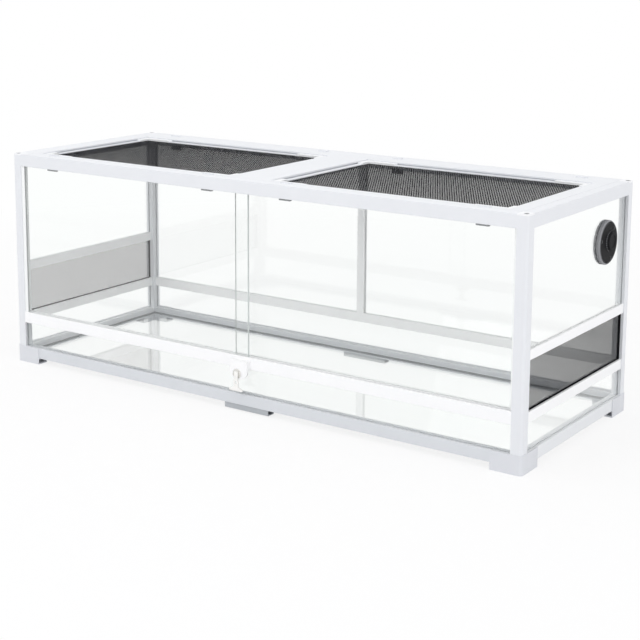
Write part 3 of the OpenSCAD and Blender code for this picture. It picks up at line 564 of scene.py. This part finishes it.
def makeCap():
    # A ribbed base ring under a round dished grip, with the plug that fills the cable hole
    look = capShape
    low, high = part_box("port_cap")
    y, z = (low.y + high.y) / 2, (low.z + high.z) / 2
    seat = portAxis.x + look["seat"] * mm
    base = addRound("cable_cap", (look["base"] - look["rib"]) * mm, look["thick"] * mm,
                    (seat + look["thick"] / 2 * mm, y, z), (0, pi / 2, 0),
                    2 * look["ribs"])
    place = Vector((0, y, z))
    editFaces(base, lambda centre, normal: abs(normal.x) < 0.5 and
              int(atan2(centre.y - y, centre.z - z) / pi * look["ribs"] + 2 * look["ribs"]) % 2)
    bpy.ops.mesh.extrude_faces_move(TRANSFORM_OT_shrink_fatten={"value": look["rib"] * mm})
    closeEdit()
    editFaces(base, lambda centre, normal: normal.x < -0.9)
    bpy.ops.mesh.inset(thickness=(look["base"] - look["rib"] - look["plug"]) * mm)
    pull(low.x - seat, 0, 0)
    closeEdit()
    start = seat + look["up"] * mm
    grip = addRound("grip", look["foot"] * mm, high.x - start,
                    ((high.x + start) / 2, y, z), (0, pi / 2, 0))
    editFaces(grip, lambda centre, normal: normal.x > 0.9)
    share = look["top"] / look["foot"]
    bpy.ops.transform.resize(value=(1, share, share))
    bpy.ops.mesh.inset(thickness=look["rim"] * mm)
    bpy.ops.mesh.inset(thickness=look["dish"] * mm)
    pull(-look["dish"] * mm, 0, 0)
    closeEdit()
    applyModifier(grip, "BEVEL", {"width": look["round"] * mm, "segments": 2,
                                  "limit_method": "ANGLE", "angle_limit": radians(40)})
    cap = joinPieces([base, grip])
    bpy.ops.object.shade_smooth_by_angle(angle=radians(30))
    finish(cap, capBlack, "port_cap", "port_plastic", "port_cap")
    cap.data.materials.append(ribTipHighlightAbs)
    for face in cap.data.polygons:       # the ribs' tips get a painted highlight
        reach = (face.center - place).yz.length
        face.material_index = int(reach > (look["base"] - look["tipHighlight"]) * mm)


makeCap()
print("cable cap done")


lockAxis = Vector((2 * mm, -234 * mm, 79 * mm))
cylinderShape = {"rim": 10 * mm, "rimThick": 1 * mm, "gap": 0.15 * mm, "barrel": 8 * mm,
                 "barrelLong": 10.2 * mm, "arris": 0.35 * mm,
                 "rings": ((1.1, 0), (0.2, 0.35), (0.9, 0), (0.15, -0.25)),  # width, depth
                 "keyway": (2.6 * mm, 8 * mm), "keywayReach": (-3 * mm, 9 * mm)}


def makeCylinder():
    look = cylinderShape
    front = lockAxis.y - look["gap"] - look["rimThick"]
    core = addRound("lock_core_face", look["rim"], look["rimThick"],
                    (lockAxis.x, front + look["rimThick"] / 2, lockAxis.z), (pi / 2, 0, 0))
    editFaces(core, lambda centre, normal: normal.y < -0.9)
    bpy.ops.mesh.bevel(offset=look["arris"], segments=2)
    bpy.ops.object.mode_set(mode="OBJECT")
    editFaces(core, lambda centre, normal: normal.y < -0.99)
    for inset, depth in look["rings"]:
        bpy.ops.mesh.inset(thickness=inset * mm)
        bpy.ops.transform.translate(value=(0, depth * mm, 0))
    bpy.ops.object.mode_set(mode="OBJECT")
    editFaces(core, lambda centre, normal: normal.y > 0.9 and
              centre.y > front + look["rimThick"] / 2)
    bpy.ops.mesh.inset(thickness=look["rim"] - look["barrel"])
    pull(0, look["barrelLong"] + look["gap"], 0)
    closeEdit()
    wide, tall = look["keyway"]
    near, deep = look["keywayReach"]
    cutAway(core, addBlock("cutter", lockAxis + Vector((-wide / 2, near, -tall / 2)),
                           lockAxis + Vector((wide / 2, deep, tall / 2))))
    bpy.ops.object.shade_smooth_by_angle(angle=radians(30))
    finish(core, nickel, "lock_core", "lock_metal", "lock_cylinder")


makeCylinder()


keyShape = {"width": 33, "length": 34, "neck": 8, "eye": 12, "eyeDown": 17, "brim": 4,
            "corner": 4, "top": 5, "thick": 2.5, "back": -235.65, "ring": 6, "round": 0.5,
            "plain": 12,                 # depth from which the head is drawn in steps
            "bell": (29.5, 29.85, 30, 31.5, 32.8, 33.6, 34),
            "blade": (2, 7.4), "bladeStart": 0.2, "bladeEnd": -225.2, "taper": (0.7, 0.8),
            "cuts": (-229.5, -227.5), "cut": (1, 2.6), "cutReach": (3, 5),
            "through": 8}                # in mm, from the cylinder's axis


def keyHalf(down):                       # half the head's width at a depth below the axis
    look = keyShape
    half, flare = look["width"] / 2, (look["width"] - look["neck"]) / 2
    brim = look["length"] - look["brim"]
    eye = sqrt(max(0, (look["eye"] / 2) ** 2 - (down - look["eyeDown"]) ** 2))
    if down >= brim:
        bell = half - look["corner"] + sqrt(look["corner"] ** 2 - (down - brim) ** 2)
    else:
        bell = half - sqrt(flare ** 2 - max(0, down - brim + flare) ** 2)
    return max(eye, bell, look["neck"] / 2)


def makeKey():
    # The head is drawn down from the neck in short steps, through its ring eye to the bell,
    # and its blade is a separate metal bar
    look = keyShape
    x, z = lockAxis.x / mm, lockAxis.z / mm
    front = look["back"] - look["thick"]
    start, half = look["plain"], keyHalf(0)
    head = addBlock("key_head", [(x - half) * mm, front * mm, (z - start) * mm],
                    [(x + half) * mm, look["back"] * mm, (z + look["top"]) * mm])
    editFaces(head, lambda centre, normal: normal.z < -0.9)
    depths = [start + step for step in range(1, look["length"] - look["brim"] - start)]
    depths += look["bell"]
    for before, down in zip([start] + depths, depths):
        pull(0, 0, (before - down) * mm)
        bpy.ops.transform.resize(value=(keyHalf(down) / keyHalf(before), 1, 1))
    bpy.ops.object.mode_set(mode="OBJECT")
    ring = Vector((x, look["back"] - look["thick"] / 2, z - look["eyeDown"])) * mm
    cutAway(head, addRound("cutter", look["ring"] / 2 * mm, look["through"] * mm, ring,
                           (pi / 2, 0, 0)))
    applyModifier(head, "BEVEL", {"width": look["round"] * mm, "segments": 3,
                                  "limit_method": "ANGLE", "angle_limit": radians(60)})
    bpy.ops.object.shade_smooth_by_angle(angle=radians(40))
    finish(head, keyWhite, "key", "key_plastic", "lock_key")
    wide, tall = look["blade"]
    blade = addBlock("key_blade", [(x - wide / 2) * mm, (look["back"] - look["bladeStart"]) * mm,
                                   (z - tall / 2) * mm],
                     [(x + wide / 2) * mm, look["bladeEnd"] * mm, (z + tall / 2) * mm])
    editFaces(blade, lambda centre, normal: normal.y > 0.9)
    bpy.ops.transform.resize(value=(look["taper"][0], 1, look["taper"][1]))
    closeEdit()
    (gap, up), (side, down) = look["cut"], look["cutReach"]
    for place in look["cuts"]:           # two cuts along the lower edge
        cutAway(blade, addBlock(
            "cutter", [(x - side) * mm, (place - gap / 2) * mm, (z - down) * mm],
            [(x + side) * mm, (place + gap / 2) * mm, (z - up) * mm]))
    finish(blade, nickel, "key", "lock_metal")


makeKey()
print("lock and key done")


studio = {"floor": ("#fafafa", "#f5f5f6"), "floorReach": 30, "near": 0.9, "far": 2.2,
          "lift": (0.82, 1), "around": 0.64, "aim": (0, 0, 0.2),
          "top": {"place": (-0.3, -0.6, 3), "size": 3.2, "power": 37},
          "front": {"place": (-0.6, -3.4, 1.5), "size": 2.4, "power": 21},
          "right": {"place": (3.6, -0.6, 1.3), "size": 2.4, "power": 26}}


def seenDirectly(tree):                  # 1 for what the camera, a gloss or a pane shows
    path = addNode(tree, "ShaderNodeLightPath")
    seen = path.outputs["Is Camera Ray"]
    for name in ("Is Glossy Ray", "Is Transmission Ray"):
        seen = addNode(tree, "ShaderNodeMath", {"operation": "MAXIMUM"}, {
            0: seen, 1: path.outputs[name]}).outputs[0]
    return seen


def makeFloor():
    # Painted board, matt and pale. It keeps the shadow near the object, and further out it
    # fades into the white behind
    bpy.ops.object.select_all(action="DESELECT")
    bpy.ops.mesh.primitive_circle_add(vertices=96, radius=studio["floorReach"],
                                      fill_type="NGON")
    floor = settle("floor")
    material = newMaterial("painted board", studio["floor"], roughness=(0.85, 0.95),
                           patch=[40 * mm] * 3, grain=[5 * mm] * 3)
    tree = material.node_tree
    place = addNode(tree, "ShaderNodeTexCoord")
    away = addNode(tree, "ShaderNodeVectorMath", {"operation": "LENGTH"},
                   {0: place.outputs["Object"]})
    low, high = studio["lift"]
    lift = addNode(tree, "ShaderNodeMapRange", inputs={
        "Value": away.outputs["Value"], "From Min": studio["near"],
        "From Max": studio["far"], "To Min": low, "To Max": high})
    share = addNode(tree, "ShaderNodeMath", {"operation": "MULTIPLY"}, {
        0: seenDirectly(tree), 1: lift.outputs["Result"]})
    white = addNode(tree, "ShaderNodeEmission", inputs={"Color": [1, 1, 1, 1], "Strength": 1})
    mixed = addNode(tree, "ShaderNodeMixShader", inputs={
        0: share.outputs[0], 1: tree.nodes["Principled BSDF"].outputs[0],
        2: white.outputs[0]})
    tree.links.new(mixed.outputs[0], tree.nodes["Material Output"].inputs["Surface"])
    floor.data.materials.append(material)


def makeWorld():
    world = bpy.data.worlds.new("studio")
    bpy.context.scene.world = world
    world.use_nodes = True
    tree = world.node_tree
    tree.nodes.clear()
    soft = addNode(tree, "ShaderNodeBackground", inputs={
        "Color": linear("#fbfbfd"), "Strength": studio["around"]})
    white = addNode(tree, "ShaderNodeBackground", inputs={"Color": [1, 1, 1, 1], "Strength": 1})
    mixed = addNode(tree, "ShaderNodeMixShader", inputs={
        0: seenDirectly(tree), 1: soft.outputs[0], 2: white.outputs[0]})
    addNode(tree, "ShaderNodeOutputWorld", inputs={"Surface": mixed.outputs[0]})


def addSoftbox(name, place, size, power):
    light = bpy.data.lights.new(name, "AREA")
    light.shape, light.size, light.energy = "SQUARE", size, power
    lamp = bpy.data.objects.new(name, light)
    lamp.location = place
    away = Vector(studio["aim"]) - lamp.location
    lamp.rotation_euler = away.to_track_quat("-Z", "Y").to_euler()
    bpy.context.collection.objects.link(lamp)


makeFloor()
makeWorld()
for name in ("top", "front", "right"):
    addSoftbox("softbox " + name, **studio[name])


view = {"place": (1.64855, -2.35258, 0.89064), "turn": (80.0597, -0.2892, 34.7219),
        "lens": 80.72, "sensor": 36, "shift": (0.00809, -0.18751)}
lens = bpy.data.cameras.new("camera")
lens.sensor_width, lens.lens = view["sensor"], view["lens"]
lens.shift_x, lens.shift_y = view["shift"]
camera = bpy.data.objects.new("camera", lens)
camera.location = view["place"]
camera.rotation_euler = [radians(a) for a in view["turn"]]
bpy.context.collection.objects.link(camera)
bpy.context.scene.camera = camera
bpy.context.scene.view_settings.view_transform = "Standard"
print("floor, lights and camera done")
